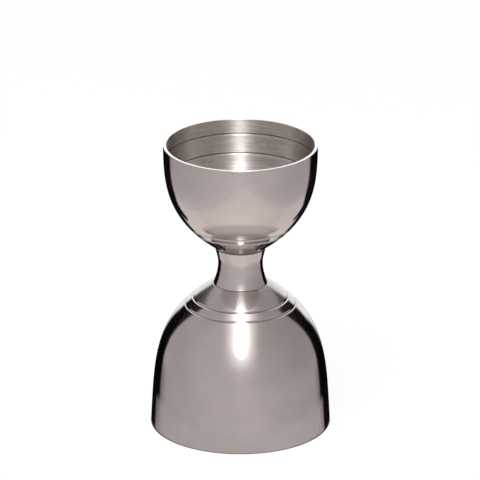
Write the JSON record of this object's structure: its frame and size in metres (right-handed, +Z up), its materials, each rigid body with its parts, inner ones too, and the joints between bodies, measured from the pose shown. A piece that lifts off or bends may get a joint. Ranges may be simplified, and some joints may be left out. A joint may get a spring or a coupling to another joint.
{
  "type": "bell jigger",
  "caption": "Double-ended steel bar measure: a large bell that stands on its rim, a waisted neck and a small cup that opens upwards.",
  "frame": {"origin": "centre of the plane that the bell's rim stands on", "axes": "+Z up along the axis of both cups, from the bell to the small cup; X and Y are any two square directions, since the part is round"},
  "size_m": [0.0514, 0.0514, 0.084],
  "materials": {
    "polished_steel": "mirror polished outside, fine turned lines inside",
    "plain_steel": "plain turned",
    "braze_metal": "polished with the steel beside it"
  },
  "bodies": {
    "root": {"bell": "polished_steel", "small_cup": "polished_steel", "neck": "polished_steel", "core_dowel": "plain_steel", "lower_braze_ring": "braze_metal", "upper_braze_ring": "braze_metal"}
  },
  "joints": []
}
